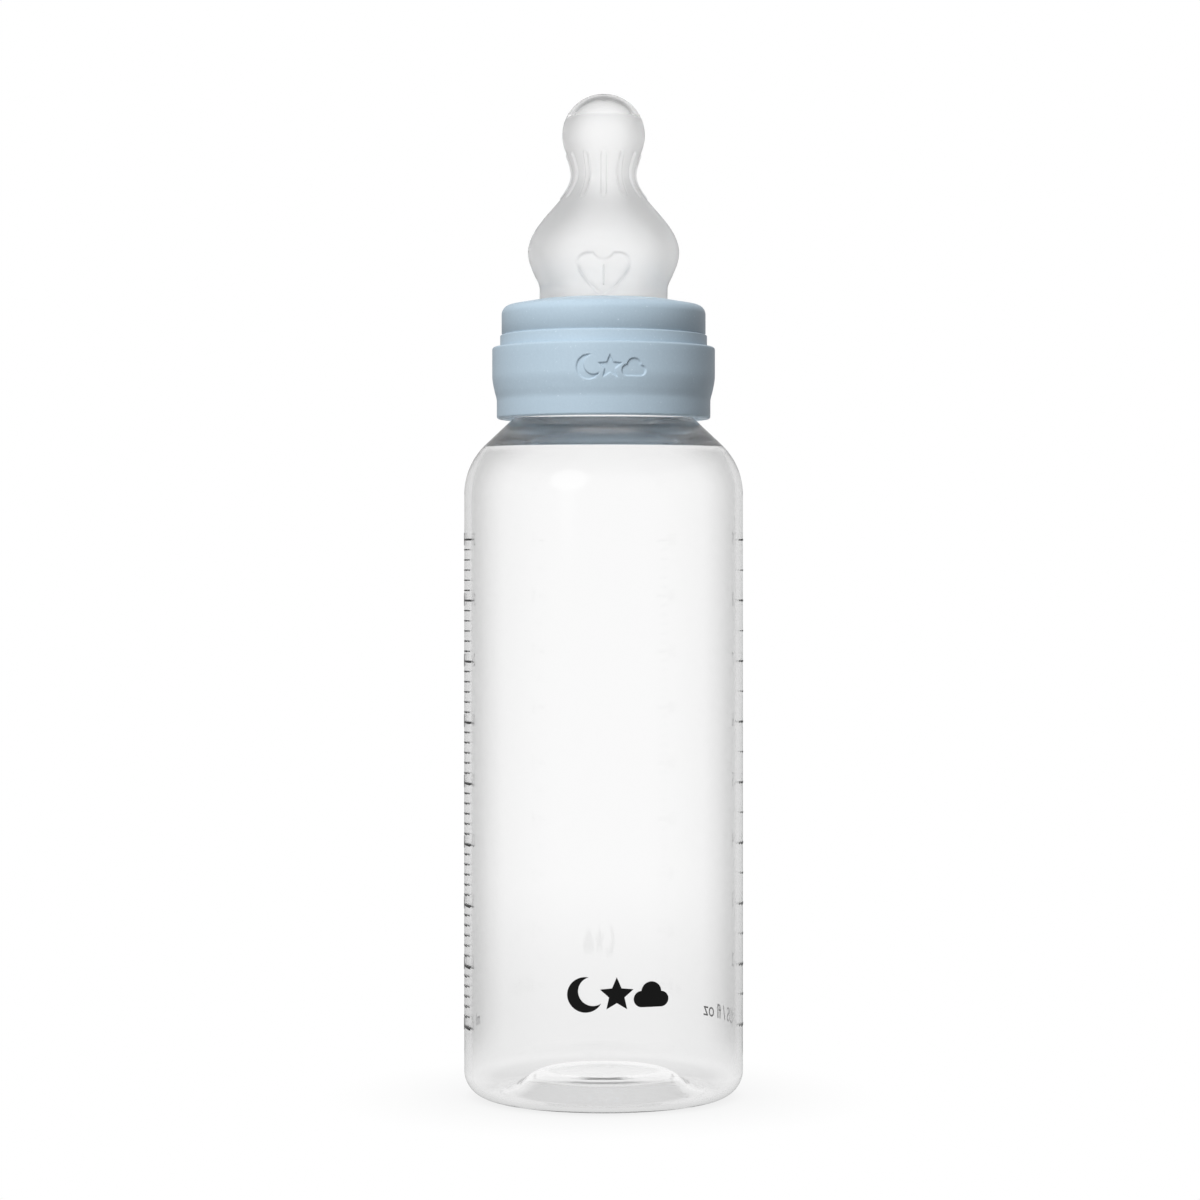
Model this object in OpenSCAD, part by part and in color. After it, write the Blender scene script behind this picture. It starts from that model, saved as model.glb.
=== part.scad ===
// Baby bottle with a screw ring and a silicone teat.
// Millimetres, +Z up. The origin is the middle of the base, on the surface that the bottle stands on.
// The front, with the printed mark and the heart-shaped air valve, faces -Y.

/* [Bottle] */
// Outside diameter of the straight body
body_d = 57.9; // [54:0.1:62]
// Height at which the straight body ends and the shoulder starts
shoulder_z = 124.9; // [110:0.1:126]
// Wall thickness of the body
body_wall = 1.4; // [1.2:0.1:1.8]
// Radius of the round shoulder
shoulder_r = 14.2; // [13.8:0.1:14.6]
// Radius of the shoulder's inside, where the wall is thinnest
inner_shoulder_r = 14.5; // [14.3:0.1:14.8]
// Radius of the round bottom corner
corner_r = 5.4; // [5:0.1:7]
// Outside diameter of the neck under its thread
neck_d = 36.2; // [35.4:0.1:36.4]
// Wall thickness of the neck
neck_wall = 1.9; // [1.5:0.1:2.2]
// Height of the neck's rim
rim_z = 160.25; // [158:0.05:161]
// Height of the dome pushed up in the base
dome_h = 4.2; // [3:0.1:5]

/* [Thread] */
// Rise of the thread in one turn
lead = 5; // [4.6:0.1:5.2]
// Number of turns on the neck and in the ring
turns = 1.5; // [1:0.25:1.5]
// Height of the thread's ridge on the neck
ridge_h = 1.1; // [0.9:0.05:1.15]

/* [Ring] */
// Height of the ring
ring_h = 24.6; // [24:0.1:25.2]
// Diameter of the ring's widest belt
belt_d = 46.3; // [45:0.1:48]
// Diameter of the band that a cap pushes on to
cap_band_d = 42.4; // [41.8:0.1:42.8]
// Diameter of the hole for the teat
ring_hole_d = 26; // [25.6:0.1:26.2]
// Depth of the engraved mark in the belt
engrave_depth = 0.35; // [0.2:0.05:0.5]

/* [Teat] */
// Height of the teat above the ring's top
teat_h = 43; // [42:0.1:44]
// Diameter of the teat's flange under the ring
flange_d = 37.2; // [36:0.1:37.4]
// Wall thickness at the teat's round tip
tip_wall = 1.1; // [1:0.1:1.6]
// Diameter of the feeding hole
feed_hole_d = 0.5; // [0.3:0.1:0.8]
// Length of the air valve's slit
slit_length = 3.9; // [3:0.1:5]
// Number of ribs round the teat's neck
rib_count = 12; // [8:1:14]

/* [Printing] */
// Height of the 30 ml line
first_ml_z = 14.8; // [14:0.1:18]
// Thickness of the printed ink
ink_t = 0.06; // [0.04:0.01:0.1]
// Height of the middle of the printed mark at the front
mark_z = 24.4; // [18:0.1:60]
// Size of the printed mark at the front, from top to bottom
mark_h = 7.1; // [5:0.1:10]

/* [Hidden] */
$fn = 96;

body_r = body_d / 2;
neck_r = neck_d / 2;
bore_r = neck_r - neck_wall;
cone_angle = 46.6;      // how far the shoulder turns from upright before it runs straight
inner_cone_r = 24.1;    // where the inside breaks into a cone, which leaves the wall thicker up to the neck
inner_cone_angle = 51.8;
foot_r = body_r - corner_r;
floor_t = 1.1;
dome_foot_r = 20.2;
rim_round = 0.5;
arc_steps = 14;         // steps in each round stretch of a turned outline

// The ring closes on the teat's flange, which lies on the neck's rim.
seat_gap = 0.05;        // space at each flat face where parts on different bodies meet
flange_t = 2;
plate_t = 2.8;          // thickness of the ring's top at its crest, round the hole
flange_z = rim_z + seat_gap;
plate_z = flange_z + flange_t + seat_gap;
ring_top = plate_z + plate_t;
ring_z = ring_top - ring_h;
teat_z = ring_top + seat_gap;
tip_z = ring_top + teat_h;

// Thread: ridges with flanks at one slope, 2.4 mm wide where they meet the wall and 1 mm at the crest.
ridge_root_w = 2.4;
ridge_crest_w = 1;
ridge_sink = 0.3;       // how far a ridge's root lies inside its wall
ring_wall_r = neck_r + ridge_h + 0.4;
ring_ridge_r = neck_r + 0.4;
flank_gap = 0.25;
neck_thread_z = rim_z - 10.75;
ridge_slope = (ridge_root_w - ridge_crest_w) / 2 / (ridge_h + ridge_sink);
ridge_overlap = neck_r + ridge_h - ring_ridge_r;
ring_thread_z = neck_thread_z - ridge_crest_w - ridge_slope * ridge_overlap - flank_gap;
steps_a_turn = 36;
taper_steps = 3;

// Capacity lines: the body's inside area sets the height of each 30 ml and each US fluid ounce.
inside_r = body_r - body_wall;
mm_per_ml = 1000 / (PI * inside_r ^ 2);
oz_ml = 29.9;           // the print rounds the fluid ounce up
first_oz_z = first_ml_z + 0.3;
// Angles from the front at which the lines start and end, with the 30 ml and 1 oz lines the long ones.
ml_start = -85.5;
ml_long_end = -71;
ml_short_end = -77;
oz_start = 88;
oz_long_end = 79.5;
oz_short_end = 82.5;
long_w = 0.38;
short_w = 0.28;
mark_turn = 5.5;
belt_mark_turn = 3.5;
belt_mark_h = 5;

CLEAR = [0.93, 0.94, 0.95, 0.35];
BLUE = [0.66, 0.75, 0.83];
SILICONE = [0.92, 0.92, 0.91, 0.8];
INK = [0.05, 0.05, 0.06];

// ---- curves -------------------------------------------------------------

// Points on an arc about c, from angle a0 to a1.
function arc(c, r, a0, a1, n = arc_steps) =
    [for (i = [0 : n]) let (a = a0 + (a1 - a0) * i / n) c + r * [cos(a), sin(a)]];

// One stretch of a smooth curve between stations [at, value, slope], as [value, at] points.
function stretch(a, b, n) =
    [for (i = [0 : n - 1])
        let (t = i / n, h = b[0] - a[0],
             v = (2 * t ^ 3 - 3 * t ^ 2 + 1) * a[1] + (t ^ 3 - 2 * t ^ 2 + t) * h * a[2]
               + (3 * t ^ 2 - 2 * t ^ 3) * b[1] + (t ^ 3 - t ^ 2) * h * b[2])
        [v, a[0] + h * t]];

// A smooth curve through all the stations.
function smooth(stations, n = 8) =
    [for (k = [0 : len(stations) - 2]) each stretch(stations[k], stations[k + 1], n),
     [stations[len(stations) - 1][1], stations[len(stations) - 1][0]]];

function swapped(points) = [for (p = points) [p[1], p[0]]];
function reversed(points) = [for (i = [len(points) - 1 : -1 : 0]) points[i]];

// ---- screw thread -------------------------------------------------------

// A ridge wound once round for each turn, from radius root_r out or in to crest_r, dying away at both ends.
module ridge(root_r, wall_r, crest_r, z, turns) {
    n = round(turns * steps_a_turn);
    points = [for (i = [0 : n])
        let (a = 360 * i / steps_a_turn,
             full = min(1, i / taper_steps, (n - i) / taper_steps),
             sunk = wall_r + (root_r - wall_r) / 2,
             r = sunk + (crest_r - sunk) * full,
             zc = z + lead * i / steps_a_turn)
        each [for (q = [[root_r, -ridge_root_w / 2], [r, -ridge_crest_w / 2],
                        [r, ridge_crest_w / 2], [root_r, ridge_root_w / 2]])
            [q[0] * cos(a), q[0] * sin(a), zc + q[1]]]];
    sides = [for (i = [0 : n - 1]) for (k = [0 : 3])
        let (a = 4 * i + k, b = 4 * i + (k + 1) % 4, c = b + 4, d = a + 4)
        each [[a, c, b], [a, d, c]]];
    ends = [[0, 1, 2], [0, 2, 3], [4 * n, 4 * n + 2, 4 * n + 1], [4 * n, 4 * n + 3, 4 * n + 2]];
    faces = concat(sides, ends);
    polyhedron(points, crest_r > root_r ? [for (f = faces) reversed(f)] : faces);
}

// ---- bottle -------------------------------------------------------------

// The dome in the base, as heights over the radius: a steep foot, and a flat top with a shallow dimple in it.
function dome(foot, base_z, h) =
    reversed(swapped(smooth([[0, base_z + 0.9 * h, 0], [7.5, base_z + 0.92 * h, 0.04],
                             [11.5, base_z + h, 0], [14.8, base_z + 0.9 * h, -0.3], [foot, base_z, 0]])));

shoulder_end = [body_r - shoulder_r + shoulder_r * cos(cone_angle),
                shoulder_z + shoulder_r * sin(cone_angle)];
// The inside turns in a little lower than the outside, up to the break into its cone.
inner_shoulder_at = [inside_r - inner_shoulder_r, shoulder_z - 0.25];
inner_shoulder_turn = acos((inner_cone_r - inner_shoulder_at[0]) / inner_shoulder_r);
inner_cone_z = inner_shoulder_at[1] + inner_shoulder_r * sin(inner_shoulder_turn);
bore_z = inner_cone_z + (inner_cone_r - bore_r) / tan(inner_cone_angle);
// Height at which the straight cone above the shoulder reaches radius r.
function cone_z(r) = shoulder_end[1] + (shoulder_end[0] - r) / tan(cone_angle);

module bottle_outline() {
    inner_corner_r = corner_r - body_wall;
    outside = concat(
        reversed(dome(dome_foot_r, 0, dome_h)),
        arc([foot_r, corner_r], corner_r, -90, 0),
        arc([body_r - shoulder_r, shoulder_z], shoulder_r, 0, cone_angle),
        [[neck_r, cone_z(neck_r)]],
        arc([neck_r - rim_round, rim_z - rim_round], rim_round, 0, 90, 5));
    inside = concat(
        arc([bore_r + rim_round, rim_z - rim_round], rim_round, 90, 180, 5),
        [[bore_r, bore_z]],
        reversed(arc(inner_shoulder_at, inner_shoulder_r, 0, inner_shoulder_turn)),
        reversed(arc([foot_r, floor_t + inner_corner_r], inner_corner_r, -90, 0)),
        dome(dome_foot_r + 0.7, floor_t, dome_h + 0.1));
    polygon(concat(outside, inside));
}

module bottle() {
    color(CLEAR) union() {
        rotate_extrude() bottle_outline();
        ridge(neck_r - ridge_sink, neck_r, neck_r + ridge_h, neck_thread_z, turns);
    }
}

// ---- marks --------------------------------------------------------------

// A crescent moon in a circle of diameter 1.
module moon() {
    difference() {
        circle(0.5);
        translate([0.21, 0.1]) circle(0.41);
    }
}

// A five-pointed star with its points on a circle of diameter 1.
module star() {
    polygon([for (i = [0 : 9]) let (r = i % 2 == 0 ? 0.5 : 0.23) r * [sin(36 * i), cos(36 * i)]]);
}

// A cloud 1 wide with a flat bottom.
module cloud() {
    translate([-0.27, -0.13]) circle(0.23);
    translate([0.29, -0.14]) circle(0.22);
    translate([0.01, 0.07]) circle(0.29);
    translate([-0.27, -0.36]) square([0.56, 0.4]);
}

// The three shapes in a row, h high, about the origin.
module motif(h) {
    scale(h) {
        translate([-0.9, 0]) moon();
        translate([-0.02, 0]) star();
        translate([0.96, 0]) cloud();
    }
}

// A flat shape stood upright at height z and pushed out to the front, turned round by angle.
module facing(z, angle, depth) {
    rotate([0, 0, angle]) translate([0, 0, z]) rotate([90, 0, 0]) linear_extrude(depth) children();
}

// A thin shell about the axis.
module shell(r_in, r_out, z, h) {
    translate([0, 0, z]) difference() {
        cylinder(r = r_out, h = h);
        translate([0, 0, -1]) cylinder(r = r_in, h = h + 2);
    }
}

// ---- screw ring ---------------------------------------------------------

belt_top = ring_z + 14.85;
belt_r = belt_d / 2;
skirt_r = belt_r - 0.95;
belt_mark_z = ring_z + 9.6;
step_r = cap_band_d / 2 + 0.3;
step_z = ring_z + 17.35;
cap_r = cap_band_d / 2;
hole_r = ring_hole_d / 2;
crown_angle = 10;       // how far the ring's top slopes down from its crest at the hole
crest_round = 1;
corner_round = 2;
// The slope touches the rounding of the crest and of the corner, so both lie the same way off its line.
crest_at = [hole_r + crest_round, ring_top - crest_round];
crown_line = crest_at[0] * sin(crown_angle) + crest_at[1] * cos(crown_angle) + crest_round;
corner_z = (crown_line - corner_round - (cap_r - corner_round) * sin(crown_angle)) / cos(crown_angle);

module ring_outline() {
    outside = concat(
        arc([skirt_r - 0.4, ring_z + 0.4], 0.4, -90, 0, 4),
        smooth([[ring_z + 3.6, skirt_r, 0], [ring_z + 5.8, belt_r - 0.47, 0.21],
                [ring_z + 9, belt_r, 0]]),
        arc([belt_r - 0.5, belt_top - 0.5], 0.5, 0, 90, 5),
        [[step_r + 0.1, belt_top]],
        arc([step_r - 0.2, step_z - 0.2], 0.2, 0, 90, 3),
        [[cap_r - 0.15, step_z], [cap_r - 0.15, step_z + 0.25], [cap_r, step_z + 0.4]],
        arc([cap_r - corner_round, corner_z], corner_round, 0, 90 - crown_angle, 8));
    inside = concat(
        arc(crest_at, crest_round, 90 - crown_angle, 180, 6),
        [[hole_r, plate_z], [ring_wall_r - 0.6, plate_z], [ring_wall_r, plate_z - 0.6],
         [ring_wall_r, ring_z + 2.6], [ring_wall_r + 0.5, ring_z + 1.8], [ring_wall_r + 0.5, ring_z]]);
    polygon(concat(outside, inside));
}

module screw_ring() {
    color(BLUE) union() {
        difference() {
            rotate_extrude() ring_outline();
            intersection() {
                facing(belt_mark_z, belt_mark_turn, belt_d) motif(belt_mark_h);
                shell(belt_r - engrave_depth, belt_r + 1, belt_mark_z - belt_mark_h, 2 * belt_mark_h);
            }
        }
        ridge(ring_wall_r + ridge_sink, ring_wall_r, ring_ridge_r, ring_thread_z, turns);
    }
}

// ---- teat ---------------------------------------------------------------

stem_r = 13.3;
groove_r = hole_r - 0.25;
tip_r = 8.6;
tip_centre_z = tip_z - tip_r;
// Stations [height, radius, slope] of the outside, from the ring up to the tip's widest place.
teat_outer = [[ring_top + 2.5, stem_r + 0.01, 0], [ring_top + 4.9, 14.2, 0.46],
              [ring_top + 10, 15.72, 0], [ring_top + 18.4, 11.25, -0.88],
              [ring_top + 26.1, 6.55, 0], [tip_centre_z - 0.2, tip_r, 0]];
// The same for the hollow inside.
teat_inner = [[ring_top + 1.7, 11.4, 0], [ring_top + 9.7, 14.05, 0], [ring_top + 17.8, 9.95, -0.88],
              [ring_top + 26.1, 5.05, 0], [tip_centre_z - 0.2, tip_r - tip_wall, 0]];

module teat_outline() {
    flange_r = flange_d / 2;
    outside = concat(
        arc([flange_r - 0.4, flange_z + 0.4], 0.4, -90, 0, 4),
        arc([flange_r - 0.4, flange_z + flange_t - 0.4], 0.4, 0, 90, 4),
        [[groove_r, flange_z + flange_t], [groove_r, teat_z], [stem_r, teat_z]],
        smooth(teat_outer),
        arc([0, tip_centre_z], tip_r, 4, 90));
    inside = concat(
        reversed(arc([0, tip_centre_z], tip_r - tip_wall, 4, 90)),
        reversed(smooth(teat_inner)),
        [[11.4, flange_z]]);
    polygon(concat(outside, inside));
}

// A heart 1 wide: round lobes, a round valley between them, and wide arcs that cross in the point.
lobe_at = [0.281, 0];
lobe_r = 0.219;
valley_at = [0, 0.313];
valley_r = 0.205;
side_at = [-0.358, 0.324];
side_r = 0.935;
side_end = atan2(lobe_at[1] - side_at[1], lobe_at[0] - side_at[0]);
lobe_end = atan2(valley_at[1], -lobe_at[0]);
heart_half = concat(
    arc(side_at, side_r, -acos(-side_at[0] / side_r), side_end - 1, 6),
    arc(lobe_at, lobe_r, side_end + 2, lobe_end - 2, 12),
    arc(valley_at, valley_r, lobe_end - 180 + 4, -90, 4));

module heart() {
    other_half = [for (i = [len(heart_half) - 2 : -1 : 1]) [-heart_half[i][0], heart_half[i][1]]];
    polygon(concat(heart_half, other_half));
}

pad_w = 11.1;
pad_r = 14.75;
pad_z = ring_top + 6.25;
slit_z = pad_z - 1.95;

module teat() {
    color(SILICONE) difference() {
        union() {
            rotate_extrude() teat_outline();
            // Heart pad: stands proud of the stem below and is let into the bulge above.
            intersection() {
                facing(pad_z, 0, 16) scale(pad_w) heart();
                shell(12.2, pad_r, ring_top + 0.5, 12);
            }
            for (i = [0 : rib_count - 1]) rotate([0, 0, 360 * i / rib_count - 90]) rib();
        }
        difference() {
            facing(pad_z, 0, 20) scale(pad_w) heart();
            translate([0, 0, ring_top]) cylinder(r = pad_r, h = 14);
        }
        // Slit of the air valve and the feeding hole.
        translate([-0.06, -17, slit_z - slit_length / 2]) cube([0.12, 8, slit_length]);
        translate([0, 0, tip_z - 3]) cylinder(d = feed_hole_d, h = 4);
    }
}

rib_w = 1.4;
rib_h = 0.25;

// One rib up the neck, following its hollow outline.
module rib() {
    neck = smooth([teat_outer[3], teat_outer[4], teat_outer[5]], 10);
    span = [for (p = neck) if (p[1] > ring_top + 20.9 && p[1] < ring_top + 30.5) p];
    turn = rib_w / teat_outer[4][1] * 180 / PI;
    rotate([0, 0, -turn / 2]) rotate_extrude(angle = turn)
        polygon(concat([for (p = span) p + [rib_h, 0]], reversed([for (p = span) p - [0.6, 0]])));
}

// ---- printing -----------------------------------------------------------

// A printed line on the body at height z, between two angles from the front towards +X.
module tick(z, from, to, w) {
    rotate([0, 0, min(from, to) - 90]) rotate_extrude(angle = abs(to - from))
        translate([body_r, z - w / 2]) square([ink_t, w]);
}

module ml_scale() {
    color(INK) for (ml = [30 : 5 : 270]) {
        major = ml % 30 == 0;
        z = first_ml_z + (ml - 30) * mm_per_ml;
        tick(z, ml_start, major ? ml_long_end : ml_short_end, major ? long_w : short_w);
    }
}

module oz_scale() {
    color(INK) for (half = [2 : 18]) {
        major = half % 2 == 0;
        z = first_oz_z + (half / 2 - 1) * oz_ml * mm_per_ml;
        tick(z, oz_start, major ? oz_long_end : oz_short_end, major ? long_w : short_w);
    }
}

module front_mark() {
    color(INK) intersection() {
        facing(mark_z, mark_turn, body_d) motif(mark_h);
        shell(body_r, body_r + ink_t, mark_z - mark_h, 2 * mark_h);
    }
}

bottle();
screw_ring();
teat();
ml_scale();
oz_scale();
front_mark();
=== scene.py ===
"""Looks of a baby bottle: clear plastic bottle, pale blue screw ring, frosted silicone teat, printed scales.

Metres, +Z up, front at -Y. Angles are in degrees from the front towards +X.
Outlines are lists of (radius, height).
"""

from math import asin, atan2, ceil, cos, degrees, exp, hypot, radians, sin, tan, tanh

import bmesh
import bpy
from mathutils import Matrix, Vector

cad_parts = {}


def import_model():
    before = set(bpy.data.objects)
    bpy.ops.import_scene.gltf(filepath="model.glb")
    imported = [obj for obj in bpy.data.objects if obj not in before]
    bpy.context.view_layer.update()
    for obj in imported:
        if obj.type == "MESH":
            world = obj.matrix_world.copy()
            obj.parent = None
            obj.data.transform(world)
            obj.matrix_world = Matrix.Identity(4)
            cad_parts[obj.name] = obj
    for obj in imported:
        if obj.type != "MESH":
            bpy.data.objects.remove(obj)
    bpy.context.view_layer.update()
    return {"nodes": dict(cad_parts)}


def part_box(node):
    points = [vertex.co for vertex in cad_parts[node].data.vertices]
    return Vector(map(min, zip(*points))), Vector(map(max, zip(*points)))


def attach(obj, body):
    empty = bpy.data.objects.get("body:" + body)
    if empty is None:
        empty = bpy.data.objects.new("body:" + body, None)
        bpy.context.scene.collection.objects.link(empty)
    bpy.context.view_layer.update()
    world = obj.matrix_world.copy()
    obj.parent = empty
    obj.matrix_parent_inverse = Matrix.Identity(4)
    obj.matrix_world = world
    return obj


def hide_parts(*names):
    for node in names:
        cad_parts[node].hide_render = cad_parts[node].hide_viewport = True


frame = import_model()

MM = 0.001

# ---- places read from the frame -----------------------------------------------

_, bottle_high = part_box("bottle")
ring_low, ring_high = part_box("screw_ring")
teat_low, teat_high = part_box("teat")
ml_low, ml_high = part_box("ml_scale")
oz_low, oz_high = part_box("oz_scale")

BODY_R = bottle_high.x
RIM_Z = bottle_high.z
RING_Z = ring_low.z
RING_TOP = ring_high.z
BELT_R = ring_high.x
FLANGE_Z = teat_low.z
FLANGE_R = teat_high.x
TIP_Z = teat_high.z

# ---- outlines -----------------------------------------------------------------


def arc(centre, r, start, end, steps=12):
    """Points on an arc, from one angle to another, in degrees."""
    angles = [radians(start + (end - start) * i / steps) for i in range(steps + 1)]
    return [(centre[0] + r * cos(a), centre[1] + r * sin(a)) for a in angles]


def smooth(stations, gap=0.5 * MM):
    """A smooth curve through stations of (height, radius, slope), with points about gap apart."""
    points = []
    for (z0, r0, s0), (z1, r1, s1) in zip(stations, stations[1:]):
        h = z1 - z0
        steps = max(2, ceil(abs(h) / gap))
        for i in range(steps):
            t = i / steps
            r = (2 * t**3 - 3 * t**2 + 1) * r0 + (t**3 - 2 * t**2 + t) * h * s0
            r += (3 * t**2 - 2 * t**3) * r1 + (t**3 - t**2) * h * s1
            points.append((r, z0 + h * t))
    z, r, _ = stations[-1]
    return [*points, (r, z)]


def upright(r, low, high, gap):
    """Points up or down a straight wall, about gap apart."""
    steps = max(1, ceil(abs(high - low) / gap))
    return [(r, low + (high - low) * i / steps) for i in range(steps + 1)]


def crisp(*corners, edge=0.12 * MM):
    """Straight lines through corners, with a point close to each corner on both sides, so it shades sharp."""
    points = []
    for start, end in zip(corners, corners[1:]):
        share = edge / hypot(end[0] - start[0], end[1] - start[1])
        for t in (0, share, 1 - share):
            points.append((start[0] + (end[0] - start[0]) * t, start[1] + (end[1] - start[1]) * t))
    return [*points, corners[-1]]


def turn(coarse, *fine):
    """Angles once round, coarse apart, and closer in each stretch of fine (from, to, apart)."""
    angles = []
    a = -180.0
    while a < 180 - coarse / 4:
        angles.append(a)
        a += min([coarse] + [gap for start, end, gap in fine if start <= a < end])
    return angles


def at(angle, r, z):
    """The point at an angle, a radius and a height."""
    a = radians(angle)
    return Vector((r * sin(a), -r * cos(a), z))


def lathe(name, walls, angles):
    """A closed mesh turned about Z, with points at the given angles.

    Each wall is (outline, relief), where relief(r, z, angle) gives the finished radius, or is None.
    """
    bm = bmesh.new()
    rings = []
    for outline, relief in walls:
        for r, z in outline:
            if r < 1e-6:
                rings.append([bm.verts.new((0, 0, z))])
            elif relief:
                rings.append([bm.verts.new(at(a, relief(r, z, a), z)) for a in angles])
            else:
                rings.append([bm.verts.new(at(a, r, z)) for a in angles])
    count = len(angles)
    for low, high in zip(rings, rings[1:] + rings[:1]):
        if len(low) == 1 and len(high) == 1:
            continue
        for i in range(count):
            j = (i + 1) % count
            corners = [low[i % len(low)], low[j % len(low)], high[j % len(high)], high[i % len(high)]]
            bm.faces.new(list(dict.fromkeys(corners)))
    bmesh.ops.recalc_face_normals(bm, faces=bm.faces)
    return made(name, bm)


def made(name, bm, shade=True):
    """The object of a finished bmesh."""
    mesh = bpy.data.meshes.new(name)
    bm.to_mesh(mesh)
    bm.free()
    for face in mesh.polygons:
        face.use_smooth = shade
    obj = bpy.data.objects.new(name, mesh)
    bpy.context.scene.collection.objects.link(obj)
    return obj


def finish_piece(obj, material, body, slot, *nodes):
    """Gives a piece its material and its body, and hides the CAD nodes that it stands for; slot is not used.
    """
    obj.data.materials.append(material)
    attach(obj, body)
    if nodes:
        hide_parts(*nodes)


# ---- flat shapes, as distances: negative inside -----------------------------------


def disc(x, y, cx, cy, r):
    return hypot(x - cx, y - cy) - r


def moon(x, y):
    """A crescent in a circle 1 across."""
    return max(disc(x, y, 0, 0, 0.5), -disc(x, y, 0.21, 0.1, 0.41))


def star(x, y):
    """A five-pointed star with its points on a circle 1 across."""
    point, valley = Vector((0, 0.5)), Vector((0.23 * sin(radians(36)), 0.23 * cos(radians(36))))
    a = abs((degrees(atan2(x, y)) + 36) % 72 - 36)
    p = hypot(x, y) * Vector((sin(radians(a)), cos(radians(a))))
    side = valley - point
    t = min(1, max(0, (p - point).dot(side) / side.dot(side)))
    gap = (p - point - side * t).length
    return gap if side.x * (p - point).y - side.y * (p - point).x > 0 else -gap


def cloud(x, y):
    """A cloud 1 wide with a flat bottom."""
    block = max(abs(x - 0.01) - 0.28, abs(y + 0.16) - 0.2)
    sides = min(disc(x, y, -0.27, -0.13, 0.23), disc(x, y, 0.29, -0.14, 0.22))
    return min(sides, disc(x, y, 0.01, 0.07, 0.29), block)


def motif(x, y, h):
    """The three shapes in a row, h high, about the origin."""
    x, y = x / h, y / h
    return h * min(moon(x + 0.9, y), star(x + 0.02, y), cloud(x - 0.96, y))


def heart(x, y, w):
    """A heart w wide: round lobes, a round valley between them, and a point where two wide arcs cross."""
    x, y = abs(x / w), y / w
    lobe = 0.219
    aside = 0.5 - lobe
    between = max(x - aside, y - lobe, -disc(x, y, 0, 0.313, 0.205))
    below = max(disc(x, y, -0.358, 0.324, 0.935), min(y, between))
    return w * min(disc(x, y, aside, 0, lobe), below)


def inside(distance, width):
    """1 well inside a shape and 0 outside, with a soft edge of that width."""
    t = min(1, max(0, 0.5 - distance / width))
    return t * t * (3 - 2 * t)


# ---- materials ----------------------------------------------------------------

# The height over which the teat goes from frosted to polished
POLISH_BLEND = 1.2 * MM


def new_material(name, **settings):
    """A material with a Principled shader, and the nodes to add detail to it."""
    material = bpy.data.materials.new(name)
    material.use_nodes = True
    nodes = material.node_tree.nodes
    shader = nodes["Principled BSDF"]
    for key, value in settings.items():
        shader.inputs[key.replace("_", " ")].default_value = value
    return material, nodes, material.node_tree.links, shader


def noise(nodes, links, scale, detail=2.0, stretch=(1, 1, 1)):
    """Noise in the piece's own metres, with scale in waves per metre."""
    place = nodes.new("ShaderNodeTexCoord")
    mapping = nodes.new("ShaderNodeMapping")
    mapping.inputs["Scale"].default_value = stretch
    texture = nodes.new("ShaderNodeTexNoise")
    texture.inputs["Scale"].default_value = scale
    texture.inputs["Detail"].default_value = detail
    links.new(place.outputs["Object"], mapping.inputs["Vector"])
    links.new(mapping.outputs["Vector"], texture.inputs["Vector"])
    return texture.outputs["Fac"]


def bump(nodes, links, height, shader, strength, distance):
    """Small relief on the surface, distance metres high at full strength."""
    node = nodes.new("ShaderNodeBump")
    node.inputs["Strength"].default_value = strength
    node.inputs["Distance"].default_value = distance
    links.new(height, node.inputs["Height"])
    links.new(node.outputs["Normal"], shader.inputs["Normal"])
    return node


def ramp(nodes, links, value, *stops):
    """A colour ramp with stops of (place, grey or colour)."""
    node = nodes.new("ShaderNodeValToRGB")
    elements = node.color_ramp.elements
    while len(elements) < len(stops):
        elements.new(0.5)
    for element, (place, colour) in zip(elements, stops):
        element.position = place
        element.color = (*colour, 1) if isinstance(colour, tuple) else (colour, colour, colour, 1)
    links.new(value, node.inputs["Fac"])
    return node.outputs["Color"]


def maths(nodes, links, operation, *values):
    """A Math node's result. Each value is a number or a socket."""
    node = nodes.new("ShaderNodeMath")
    node.operation = operation
    for socket, value in zip(node.inputs, values):
        if isinstance(value, (int, float)):
            socket.default_value = value
        else:
            links.new(value, socket)
    return node.outputs[0]


def mixed(nodes, links, share, low, high):
    """low where share is 0, and high where it is 1."""
    node = nodes.new("ShaderNodeMix")
    for socket, value in zip((node.inputs[0], node.inputs[2], node.inputs[3]), (share, low, high)):
        if isinstance(value, (int, float)):
            socket.default_value = value
        else:
            links.new(value, socket)
    return node.outputs[0]


def slide(nodes, links, value, start, end, shape="LINEAR"):
    """A number that goes from one (value, result) pair to another as the value does."""
    node = nodes.new("ShaderNodeMapRange")
    node.interpolation_type = shape
    node.inputs["From Min"].default_value, node.inputs["To Min"].default_value = start
    node.inputs["From Max"].default_value, node.inputs["To Max"].default_value = end
    links.new(value, node.inputs["Value"])
    return node.outputs["Result"]


def height_of(nodes, links, space="Object"):
    """The Z of a place in the piece's own metres, or of a direction in the world's Generated space."""
    place = nodes.new("ShaderNodeTexCoord")
    split = nodes.new("ShaderNodeSeparateXYZ")
    links.new(place.outputs[space], split.inputs["Vector"])
    return split.outputs["Z"]


def painted_edge_shade(nodes, links, *stops):
    """Painted shade for clear material: greyer by how steeply it is looked into, where less of the white
    studio is seen through it. 0 is straight on, 1 is along it.
    """
    facing = nodes.new("ShaderNodeLayerWeight").outputs["Facing"]
    return ramp(nodes, links, facing, *stops)


def heights(nodes, links, *stops):
    """A grey by height on the bottle, with stops of (height, grey)."""
    share = slide(nodes, links, height_of(nodes, links), (0, 0), (RIM_Z, 1))
    return ramp(nodes, links, share, *[(z / RIM_Z, grey) for z, grey in stops])


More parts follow.
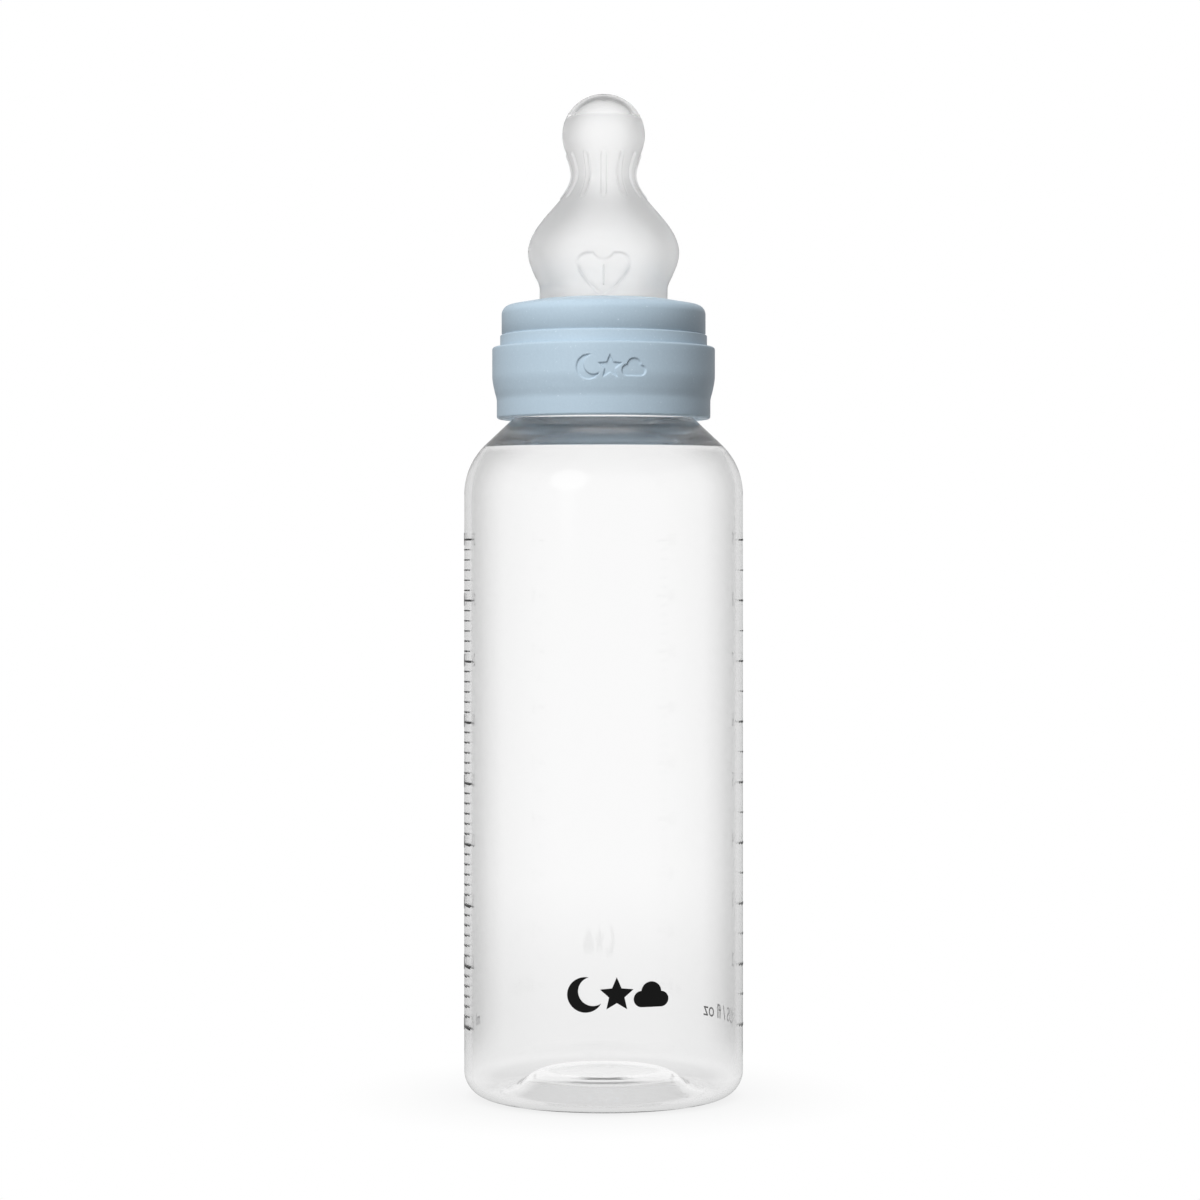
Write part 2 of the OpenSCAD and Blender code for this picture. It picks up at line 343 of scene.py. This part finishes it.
def clear_plastic():
    """Colourless moulded plastic with slow waves from moulding and an uneven polish.

    Its wall has painted grey shade where it is seen edge on, for the darker studio seen through it there, and
    its neck is a little hazy.
    """
    material, nodes, links, shader = new_material(
        "clear_plastic",
        Base_Color=(0.99, 0.99, 0.99, 1),
        Transmission_Weight=1.0,
        IOR=1.5,
    )
    # Painted shade: the wall's colour greys where it is seen edge on.
    edge_shade = painted_edge_shade(nodes, links, (0.05, 0.986), (0.33, 0.94), (0.5, 0.8), (0.62, 0.67), (0.74, 0.62))
    # The painted edge shade covers the bottle from above the base up to the neck.
    wall_stops = (5 * MM, 0), (14 * MM, 1), (133.5 * MM, 1), (134.2 * MM, 0)
    wall = heights(nodes, links, *wall_stops)
    whole = nodes.new("ShaderNodeMix")
    whole.data_type = "RGBA"
    whole.inputs["A"].default_value = (0.99, 0.99, 0.99, 1)
    links.new(wall, whole.inputs["Factor"])
    links.new(edge_shade, whole.inputs["B"])
    links.new(whole.outputs["Result"], shader.inputs["Base Color"])
    waves = noise(nodes, links, 45, 1.0, (1, 1, 0.3))
    bump(nodes, links, waves, shader, 0.07, 0.1 * MM)
    polish = ramp(nodes, links, noise(nodes, links, 900, 3.0), (0.3, 0.0), (0.8, 0.015))
    haze = heights(nodes, links, (133.8 * MM, 0), (134.4 * MM, 0.12))
    links.new(maths(nodes, links, "ADD", polish, haze), shader.inputs["Roughness"])
    return material


def ring_plastic():
    """Pale blue satin plastic with a fine grain and sparse light specks."""
    material, nodes, links, shader = new_material(
        "ring_plastic",
        Base_Color=(0.424, 0.53, 0.618, 1),
        Roughness=0.4,
        IOR=1.5,
    )
    specks = noise(nodes, links, 2200, 1.0)
    stops = (0.3, (0.41, 0.515, 0.603)), (0.75, (0.43, 0.537, 0.625)), (0.79, (0.6, 0.69, 0.77))
    links.new(ramp(nodes, links, specks, *stops), shader.inputs["Base Color"])
    grain = noise(nodes, links, 2600, 5.0)
    links.new(ramp(nodes, links, grain, (0.3, 0.34), (0.7, 0.46)), shader.inputs["Roughness"])
    bump(nodes, links, grain, shader, 0.25, 0.06 * MM)
    return material


def silicone(polish_from):
    """Frosted silicone, polished clear above one height, with painted grey shade where it is seen edge on."""
    material, nodes, links, shader = new_material(
        "silicone",
        Base_Color=(1.0, 1.0, 0.997, 1),
        Transmission_Weight=0.97,
        IOR=1.41,
    )
    # Painted shade: the frosted wall's colour greys where it is seen edge on.
    edge_shade = painted_edge_shade(nodes, links, (0.12, 0.98), (0.3, 0.9), (0.45, 0.78), (0.65, 0.72))
    links.new(edge_shade, shader.inputs["Base Color"])
    frosted, polished = (polish_from, 0.42), (polish_from + POLISH_BLEND, 0.02)
    roughness = slide(nodes, links, height_of(nodes, links), frosted, polished)
    links.new(roughness, shader.inputs["Roughness"])
    frost = noise(nodes, links, 2500, 3.0)
    bump(nodes, links, frost, shader, 0.15, 0.03 * MM)
    return material


def ink():
    """Black print, a little glossy, with an uneven edge to its gloss."""
    material, nodes, links, shader = new_material(
        "ink",
        Base_Color=(0.003, 0.003, 0.003, 1),
        Specular_IOR_Level=0.2,
    )
    blotch = noise(nodes, links, 1500, 3.0)
    links.new(ramp(nodes, links, blotch, (0.3, 0.3), (0.7, 0.5)), shader.inputs["Roughness"])
    return material


# ---- screw thread -------------------------------------------------------------

LEAD = 5.0 * MM
THREAD_TURNS = 1.5
RIDGE_H = 1.1 * MM
NECK_R = 18.1 * MM
NECK_THREAD_Z = RIM_Z - 10.75 * MM
RING_WALL_R = NECK_R + RIDGE_H + 0.4 * MM
RING_THREAD_Z = NECK_THREAD_Z - 1.6 * MM
RIDGE_HALF_W = 1.0 * MM
FLANK = 0.5


def ridge(angle, z, start_z):
    """How high the ridge stands at a place, with flanks at one slope and ends that die away."""
    round_x = (angle + 270) % 360
    height = 0
    while round_x <= 360 * THREAD_TURNS:
        off = abs(z - start_z - LEAD * round_x / 360)
        full = min(RIDGE_H, max(0, (RIDGE_HALF_W - off) / FLANK))
        fade = min(1, round_x / 30, (360 * THREAD_TURNS - round_x) / 30)
        height = max(height, full * fade)
        round_x += 360
    return height


# ---- bottle -------------------------------------------------------------------

WALL = 1.4 * MM
CORNER_R = 5.4 * MM
SHOULDER_Z = 124.9 * MM
SHOULDER_R = 14.2 * MM
INNER_SHOULDER_R = 14.5 * MM
INNER_SHOULDER_DROP = 0.25 * MM
INNER_CONE_R = 24.1 * MM
INNER_CONE_ANGLE = 53.5
CONE_ANGLE = 46.6
BORE_R = 16.2 * MM
FLOOR = 1.1 * MM
DOME_H = 4.2 * MM
DOME_FOOT_R = 21.2 * MM
RIM_ROUND = 0.5 * MM


def dome(foot, base, height):
    """The dome pushed up in the base, from the axis out to its foot."""
    stations = [
        (0, base + 0.9 * height, 0),
        (7.5 * MM, base + 0.92 * height, 0.04),
        (11.5 * MM, base + height, 0),
        (14.5 * MM, base + 0.82 * height, -0.5),
        (foot, base, 0),
    ]
    return [(r, z) for z, r in smooth(stations, 0.6 * MM)]


def bottle(material):
    centre = (BODY_R - SHOULDER_R, SHOULDER_Z)
    inner_r = BODY_R - WALL
    inner_corner = CORNER_R - WALL
    shoulder = arc(centre, SHOULDER_R, 0, CONE_ANGLE, 28)
    end_r, end_z = shoulder[-1]
    neck_z = end_z + (end_r - NECK_R) / tan(radians(CONE_ANGLE))
    outside = dome(DOME_FOOT_R, 0, DOME_H)
    outside += arc((BODY_R - CORNER_R, CORNER_R), CORNER_R, -90, 0, 20)
    outside += shoulder
    neck = upright(NECK_R, neck_z, RIM_Z - RIM_ROUND, 0.25 * MM)
    rim = arc((NECK_R - RIM_ROUND, RIM_Z - RIM_ROUND), RIM_ROUND, 0, 90, 5)
    inner_centre = (inner_r - INNER_SHOULDER_R, SHOULDER_Z - INNER_SHOULDER_DROP)
    inner_turn = 90 - degrees(asin((INNER_CONE_R - inner_centre[0]) / INNER_SHOULDER_R))
    inner_shoulder = arc(inner_centre, INNER_SHOULDER_R, inner_turn, 0, 30)
    bore_z = inner_shoulder[0][1] + (INNER_CONE_R - BORE_R) / tan(radians(INNER_CONE_ANGLE))
    within = arc((BORE_R + RIM_ROUND, RIM_Z - RIM_ROUND), RIM_ROUND, 90, 180, 5)
    within += crisp((BORE_R, RIM_Z - 2 * RIM_ROUND), (BORE_R, bore_z), inner_shoulder[0])
    within += arc(inner_centre, INNER_SHOULDER_R, inner_turn - 0.4, 0, 30)
    within += arc((BODY_R - CORNER_R, FLOOR + inner_corner), inner_corner, 0, -90, 16)
    within += dome(DOME_FOOT_R + 0.7 * MM, FLOOR, DOME_H + 0.1 * MM)[::-1]
    walls = [
        (outside, None),
        (neck, lambda r, z, a: r + ridge(a, z, NECK_THREAD_Z)),
        (rim[1:] + within, None),
    ]
    obj = lathe("bottle_clear", walls, turn(1.5))
    finish_piece(obj, material, "bottle", "bottle_plastic", "bottle")


# ---- screw ring ---------------------------------------------------------------

SKIRT_R = BELT_R - 0.95 * MM
BELT_TOP = RING_Z + 14.85 * MM
STEP_Z = RING_Z + 17.35 * MM
CAP_R = 21.2 * MM
STEP_R = CAP_R + 0.3 * MM
PLATE_Z = RING_TOP - 2.8 * MM
HOLE_R = 13.0 * MM
BELT_MARK_Z = RING_Z + 9.6 * MM
BELT_MARK_TURN = 3.5
BELT_MARK_H = 5.0 * MM
ENGRAVING = 0.35 * MM
CROWN_ANGLE = 10
CREST_ROUND = 1.0 * MM
CORNER_ROUND = 2.0 * MM


def engraved(r, z, angle):
    """The belt's surface, sunk where the mark is."""
    x = radians(angle - BELT_MARK_TURN) * BELT_R
    return r - ENGRAVING * inside(motif(x, z - BELT_MARK_Z, BELT_MARK_H), 0.22 * MM)


def ring(material):
    skirt = arc((SKIRT_R - 0.5 * MM, RING_Z + 0.5 * MM), 0.5 * MM, -90, 0, 6)
    belt_foot = (RING_Z + 5.8 * MM, BELT_R - 0.47 * MM, 0.21)
    skirt += smooth([(RING_Z + 3.6 * MM, SKIRT_R, 0), belt_foot], 0.3 * MM)
    belt = smooth([belt_foot, (RING_Z + 9 * MM, BELT_R, 0)], 0.12 * MM)
    belt += upright(BELT_R, RING_Z + 9.1 * MM, RING_Z + 13 * MM, 0.12 * MM)
    top = arc((BELT_R - 0.5 * MM, BELT_TOP - 0.5 * MM), 0.5 * MM, 0, 90, 6)
    top += arc((STEP_R + 0.15 * MM, BELT_TOP + 0.15 * MM), 0.15 * MM, -90, -180, 4)
    top += arc((STEP_R - 0.25 * MM, STEP_Z - 0.25 * MM), 0.25 * MM, 0, 90, 5)
    top += arc((CAP_R - 0.05 * MM, STEP_Z + 0.2 * MM), 0.15 * MM, -90, -180, 4)
    top += [(CAP_R, STEP_Z + 0.4 * MM)]
    # The sloping crown touches the rounding of its crest at the hole and of the corner.
    slope = radians(CROWN_ANGLE)
    crest = (HOLE_R + CREST_ROUND, RING_TOP - CREST_ROUND)
    corner_r = CAP_R - CORNER_ROUND
    corner_z = crest[1] + ((crest[0] - corner_r) * sin(slope) + CREST_ROUND - CORNER_ROUND) / cos(slope)
    top += arc((corner_r, corner_z), CORNER_ROUND, 0, 90 - CROWN_ANGLE, 12)
    within = arc(crest, CREST_ROUND, 90 - CROWN_ANGLE, 180, 10)
    within += [(HOLE_R, PLATE_Z), (RING_WALL_R - 0.6 * MM, PLATE_Z), (RING_WALL_R, PLATE_Z - 0.6 * MM)]
    bore = upright(RING_WALL_R, PLATE_Z - 0.9 * MM, RING_Z + 2.6 * MM, 0.3 * MM)
    lip = [(RING_WALL_R + 0.5 * MM, RING_Z + 1.8 * MM), (RING_WALL_R + 0.5 * MM, RING_Z + 0.2 * MM)]
    lip += [(RING_WALL_R + 0.7 * MM, RING_Z)]
    walls = [
        (skirt, None),
        (belt[1:], engraved),
        (top + within, None),
        (bore, lambda r, z, a: r - ridge(a, z, RING_THREAD_Z)),
        (lip, None),
    ]
    mark_half = degrees(BELT_MARK_H * 1.55 / BELT_R)
    angles = turn(1.5, (BELT_MARK_TURN - mark_half, BELT_MARK_TURN + mark_half, 0.3))
    obj = lathe("screw_ring_plastic", walls, angles)
    finish_piece(obj, material, "ring", "ring_plastic", "screw_ring")


# ---- teat ---------------------------------------------------------------------

STEM_R = 13.3 * MM
GROOVE_R = HOLE_R - 0.25 * MM
FLANGE_T = 2.0 * MM
TIP_R = 8.6 * MM
TIP_WALL = 1.1 * MM
TIP_CENTRE_Z = TIP_Z - TIP_R
FEED_HOLE_R = 0.25 * MM
PAD_W = 11.1 * MM
PAD_R = 14.75 * MM
PAD_Z = RING_TOP + 6.25 * MM
PAD_WALL = 1.3 * MM
PAD_STEP = 0.45 * MM
SLIT_Z = PAD_Z - 1.95 * MM
SLIT_LENGTH = 3.9 * MM
SLIT_W = 0.26 * MM
SLIT_DEPTH = 1.1 * MM
RIB_COUNT = 12
RIB_W = 1.4 * MM
RIB_H = 0.3 * MM
RIB_Z = RING_TOP + 25.7 * MM
RIB_HALF = 4.8 * MM
RIB_GROOVE = 0.1 * MM


def pad_rise(gap):
    """How far the heart pad stands out of the teat, or sinks in. Its own face would be gap further out."""
    return PAD_STEP * tanh(gap / PAD_STEP) if gap > 0 else gap


def teat_relief(r, z, angle):
    """The teat's outside with its heart pad, slit and ribs."""
    x = radians(angle) * PAD_R
    if abs(x) < PAD_W and abs(z - PAD_Z) < PAD_W:
        pad = inside(heart(x, z - PAD_Z, PAD_W), 0.6 * MM)
        past_end = max(0, abs(z - SLIT_Z) - (SLIT_LENGTH - SLIT_W) / 2)
        slit = inside(hypot(x, past_end) - SLIT_W / 2, 0.1 * MM)
        return r + pad_rise(PAD_R - r) * pad - SLIT_DEPTH * slit
    if abs(z - RIB_Z) < RIB_HALF + 1 * MM:
        apart = 360 / RIB_COUNT
        across = radians((angle + apart / 2) % apart - apart / 2) * r
        along = max(0, abs(z - RIB_Z) - RIB_HALF + RIB_W / 2)
        distance = hypot(across, along) - RIB_W / 2
        groove = exp(-((distance / (0.12 * MM)) ** 2))
        return r + RIB_H * inside(distance + 0.2 * MM, 0.4 * MM) - RIB_GROOVE * groove
    return r


def hollow_relief(r, z, angle):
    """The teat's inside, which follows the heart pad at an even thickness."""
    x = radians(angle) * PAD_R
    if abs(x) < PAD_W and abs(z - PAD_Z) < PAD_W:
        return r + pad_rise(PAD_R - PAD_WALL - r) * inside(heart(x, z - PAD_Z, PAD_W), 1.2 * MM)
    return r


def teat(material):
    foot = arc((FLANGE_R - 0.4 * MM, FLANGE_Z + 0.4 * MM), 0.4 * MM, -90, 0, 5)
    foot += arc((FLANGE_R - 0.4 * MM, FLANGE_Z + FLANGE_T - 0.4 * MM), 0.4 * MM, 0, 90, 5)
    foot += [(GROOVE_R, FLANGE_Z + FLANGE_T), (GROOVE_R, RING_TOP + 0.05 * MM)]
    foot += arc((STEM_R - 0.2 * MM, RING_TOP + 0.25 * MM), 0.2 * MM, -90, 0, 4)
    stem_end = (RING_TOP + 2.5 * MM, STEM_R + 0.01 * MM, 0)
    widest = (RING_TOP + 10 * MM, 15.72 * MM, 0)
    slope = (RING_TOP + 18.4 * MM, 11.25 * MM, -0.88)
    waist = (RING_TOP + 26.1 * MM, 6.55 * MM, 0)
    bell = upright(STEM_R, RING_TOP + 0.5 * MM, RING_TOP + 2.4 * MM, 0.19 * MM)
    bell += smooth([stem_end, (RING_TOP + 4.9 * MM, 14.2 * MM, 0.46), widest], 0.19 * MM)
    bell += smooth([widest, slope], 0.5 * MM)[1:]
    bell += smooth([slope, waist, (TIP_CENTRE_Z - 0.2 * MM, TIP_R, 0)], 0.28 * MM)[1:]
    hole_turn = 90 - degrees(asin(FEED_HOLE_R / TIP_R))
    tip = arc((0, TIP_CENTRE_Z), TIP_R, 2, hole_turn, 30)
    inner_tip_r = TIP_R - TIP_WALL
    mouth = degrees(asin(FEED_HOLE_R / inner_tip_r))
    inner_tip = arc((0, TIP_CENTRE_Z), inner_tip_r, 90 - mouth, 2, 20)
    low = (RING_TOP + 1.7 * MM, 11.4 * MM, 0)
    wide = (RING_TOP + 9.7 * MM, 14.05 * MM, 0)
    narrow = [
        (RING_TOP + 17.8 * MM, 9.95 * MM, -0.88),
        (RING_TOP + 26.1 * MM, 5.05 * MM, 0),
        (TIP_CENTRE_Z - 0.2 * MM, inner_tip_r, 0),
    ]
    hollow = smooth([wide, *narrow], 0.8 * MM)[::-1] + smooth([low, wide], 0.35 * MM)[-2::-1]
    hollow += upright(11.4 * MM, RING_TOP + 1.2 * MM, FLANGE_Z + 0.3 * MM, 0.8 * MM)
    walls = [
        (foot, None),
        (bell, teat_relief),
        (tip + inner_tip, None),
        (hollow, hollow_relief),
        ([(11.7 * MM, FLANGE_Z)], None),
    ]
    angles = turn(1.25, (-40, 40, 0.6), (-1.1, 1.1, 0.15))
    obj = lathe("teat_silicone", walls, angles)
    finish_piece(obj, material, "teat", "teat_silicone", "teat")


# ---- print --------------------------------------------------------------------

INK_T = 0.06 * MM
LINE_T = 0.38 * MM
LONG_LINES = 9
ML_H = 2.6 * MM
OZ_H = 3.0 * MM
ML_ANGLE = -87.6
ML_UNIT_ANGLE = -100
OZ_ANGLE = 96.0
OZ_UNIT_ANGLE = 97.5
# How high a figure is as a share of the font's size
FIGURE_SHARE = 0.69


def wrapped(name, text, height, angle, z, align="CENTER"):
    """Figures printed round the body, readable from outside, with their middle at z, as a mesh object."""
    data = bpy.data.curves.new(name, "FONT")
    data.body = text
    data.align_x = align
    data.align_y = "CENTER"
    data.size = height / FIGURE_SHARE
    data.extrude = INK_T / 2
    data.resolution_u = 6
    flat = bpy.data.objects.new(name + "_flat", data)
    bpy.context.scene.collection.objects.link(flat)
    bpy.context.view_layer.update()
    mesh = bpy.data.meshes.new_from_object(flat)
    bpy.data.objects.remove(flat)
    bm = bmesh.new()
    bm.from_mesh(mesh)
    bpy.data.meshes.remove(mesh)
    bmesh.ops.remove_doubles(bm, verts=bm.verts, dist=1e-6)
    for vert in bm.verts:
        x, y, out = vert.co
        vert.co = at(angle + degrees(x / BODY_R), BODY_R + INK_T / 2 + out, z + y)
    bmesh.ops.recalc_face_normals(bm, faces=bm.faces)
    return made(name, bm, False)


def joined(name, parts):
    """One object from several."""
    bm = bmesh.new()
    for part in parts:
        bm.from_mesh(part.data)
        bpy.data.objects.remove(part)
    return made(name, bm, False)


def long_lines(low, high):
    """The heights of the long lines of a scale, from its box."""
    gap = (high.z - low.z - LINE_T) / (LONG_LINES - 1)
    return [low.z + LINE_T / 2 + i * gap for i in range(LONG_LINES)]


def figures(material):
    """The numbers beside the long lines, and the units at the lowest."""
    ml_lines = long_lines(ml_low, ml_high)
    ml = [wrapped("ml", str(30 * (i + 1)), ML_H, ML_ANGLE, z, "RIGHT") for i, z in enumerate(ml_lines)]
    ml.append(wrapped("ml", "ml", ML_H, ML_UNIT_ANGLE, ml_lines[0], "RIGHT"))
    oz_lines = long_lines(oz_low, oz_high)
    oz = [wrapped("oz", str(i + 1), OZ_H, OZ_ANGLE, z) for i, z in enumerate(oz_lines)]
    oz.append(wrapped("oz", "US / fl oz", OZ_H, OZ_UNIT_ANGLE, oz_lines[0] + 0.4 * MM, "LEFT"))
    finish_piece(joined("ml_figures", ml), material, "bottle", "print_ink")
    finish_piece(joined("oz_figures", oz), material, "bottle", "print_ink")


# ---- camera, floor and light ----------------------------------------------------

# How bright the studio is, next to the white that is seen, to rays that were mirrored off an outer surface,
OUTER_LEVEL = 0.5
# scattered by a surface in the open,
DULL_LEVEL = 0.13
# scattered behind a clear wall,
ENCLOSED_LEVEL = 3.0
# and how bright the floor is to rays that were scattered in the open.
FLOOR_DULL_LEVEL = 0.3


def camera():
    """The camera stands level, in front, at about the middle of the bottle's height."""
    data = bpy.data.cameras.new("camera")
    distance = 0.707
    view_width = 249.6 * MM
    data.sensor_width = 36
    data.lens = data.sensor_width * distance / view_width
    data.shift_x = -0.003
    data.shift_y = -0.0267
    obj = bpy.data.objects.new("camera", data)
    obj.location = (0, -distance, 109.6 * MM)
    obj.rotation_euler = (radians(90), 0, 0)
    bpy.context.scene.collection.objects.link(obj)
    bpy.context.scene.camera = obj


def ray_levels(nodes, links, straight, inner, dull):
    """A light level by how a ray came.

    straight is for the camera's rays and those through clear walls, inner for rays mirrored behind a clear
    wall, and dull for rays scattered in the open.
    """
    path = nodes.new("ShaderNodeLightPath")
    camera_ray = path.outputs["Is Camera Ray"]
    direct = maths(nodes, links, "MAXIMUM", camera_ray, path.outputs["Is Transmission Ray"])
    mirrored, within, diffuse = (
        maths(nodes, links, "GREATER_THAN", path.outputs[kind + " Depth"], 0.5)
        for kind in ("Glossy", "Transmission", "Diffuse")
    )
    mirror = mixed(nodes, links, within, OUTER_LEVEL, inner)
    scattered = mixed(nodes, links, within, dull, ENCLOSED_LEVEL)
    level = mixed(nodes, links, mirrored, straight, mirror)
    level = mixed(nodes, links, diffuse, level, scattered)
    lamp = maths(nodes, links, "MAXIMUM", direct, mirrored)
    lamp = maths(nodes, links, "MAXIMUM", lamp, diffuse)
    return mixed(nodes, links, lamp, dull, level)


def floor():
    """A white floor with no edge, with a painted soft shadow where the bottle stands, and painted shade close
    to the bottle for rays other than the camera's.
    """
    bm = bmesh.new()
    bmesh.ops.create_circle(bm, cap_ends=True, segments=64, radius=12)
    bmesh.ops.translate(bm, verts=bm.verts, vec=(0, 0, -0.02 * MM))
    obj = made("floor", bm, False)
    material = bpy.data.materials.new("floor")
    material.use_nodes = True
    nodes, links = material.node_tree.nodes, material.node_tree.links
    nodes.clear()
    out = nodes.new("ShaderNodeOutputMaterial")
    light = nodes.new("ShaderNodeEmission")
    # Painted shadow: the floor's glow is darker round the bottle's foot, by ambient occlusion.
    shade = nodes.new("ShaderNodeAmbientOcclusion")
    shade.inputs["Distance"].default_value = 0.03
    open_sky = maths(nodes, links, "MULTIPLY_ADD", shade.outputs["AO"], 0.16, 0.84)
    place = nodes.new("ShaderNodeTexCoord")
    length = nodes.new("ShaderNodeVectorMath")
    length.operation = "LENGTH"
    links.new(place.outputs["Object"], length.inputs[0])
    # Painted shade: to all rays but the camera's, such as those through the bottle, the floor is darker close
    # to the bottle.
    fall = slide(nodes, links, length.outputs["Value"], (0.05, 0.89), (0.5, 1.0), "SMOOTHSTEP")
    camera_ray = nodes.new("ShaderNodeLightPath").outputs["Is Camera Ray"]
    near = maths(nodes, links, "MAXIMUM", fall, camera_ray)
    level = ray_levels(nodes, links, near, near, FLOOR_DULL_LEVEL)
    links.new(maths(nodes, links, "MULTIPLY", level, open_sky), light.inputs["Strength"])
    links.new(light.outputs[0], out.inputs["Surface"])
    material.cycles.emission_sampling = "NONE"
    obj.data.materials.append(material)


def soft_edges(data):
    """Makes a lamp brightest at its middle, and dark at its edges."""
    data.use_nodes = True
    nodes, links = data.node_tree.nodes, data.node_tree.links
    place = nodes.new("ShaderNodeNewGeometry")
    middle = nodes.new("ShaderNodeVectorMath")
    middle.operation = "DISTANCE"
    middle.inputs[1].default_value = (0.5, 0.5, 0)
    links.new(place.outputs["Parametric"], middle.inputs[0])
    fall = slide(nodes, links, middle.outputs["Value"], (0.5, 0.0), (0.3, 1.0), "SMOOTHSTEP")
    links.new(fall, nodes["Emission"].inputs["Strength"])


def softbox(name, azimuth, elevation, distance, size, power, shiny=True, target=(0, 0, 0.11)):
    """A rectangular lamp that faces the bottle."""
    data = bpy.data.lights.new(name, "AREA")
    data.shape = "RECTANGLE"
    data.size, data.size_y = size
    data.energy = power
    if shiny:
        soft_edges(data)
    obj = bpy.data.objects.new(name, data)
    offset = at(azimuth, cos(radians(elevation)), sin(radians(elevation))) * distance
    obj.location = Vector(target) + offset
    obj.rotation_euler = (-offset).to_track_quat("-Z", "Y").to_euler()
    obj.visible_camera = False
    obj.visible_transmission = False
    obj.visible_glossy = shiny
    bpy.context.scene.collection.objects.link(obj)


def world():
    """White where the camera sees it, and a greyer room where it lights or is mirrored.

    Overhead it is darker to all rays but the camera's.
    """
    scene = bpy.context.scene
    scene.world = bpy.data.worlds.new("studio")
    scene.world.use_nodes = True
    scene.world.cycles.sampling_method = "NONE"
    nodes, links = scene.world.node_tree.nodes, scene.world.node_tree.links
    nodes.clear()
    out = nodes.new("ShaderNodeOutputWorld")
    sky = nodes.new("ShaderNodeBackground")
    sky.inputs["Color"].default_value = (1, 1, 1, 1)
    height = height_of(nodes, links, "Generated")
    overhead = slide(nodes, links, height, (0.36, 1.0), (0.6, 0.4), "SMOOTHSTEP")
    camera_ray = nodes.new("ShaderNodeLightPath").outputs["Is Camera Ray"]
    seen = maths(nodes, links, "MAXIMUM", overhead, camera_ray)
    links.new(ray_levels(nodes, links, seen, overhead, DULL_LEVEL), sky.inputs["Strength"])
    links.new(sky.outputs[0], out.inputs["Surface"])


print_ink = ink()
bottle(clear_plastic())
ring(ring_plastic())
teat(silicone(TIP_Z - 5.5 * MM))
figures(print_ink)
for node in ("ml_scale", "oz_scale", "front_mark"):
    frame["nodes"][node].data.materials[0] = print_ink

camera()
floor()
world()
softbox("key", -21, 42, 1.0, (0.6, 0.7), 12.0, shiny=False)
softbox("key_shine", -29, 20, 1.0, (0.66, 0.76), 1.8)
softbox("rim", 150, 20, 1.0, (0.4, 0.8), 2.5, shiny=False)
scene = bpy.context.scene
scene.view_settings.view_transform = "Standard"
scene.cycles.max_bounces = 32
scene.cycles.transmission_bounces = 28
scene.cycles.glossy_bounces = 20
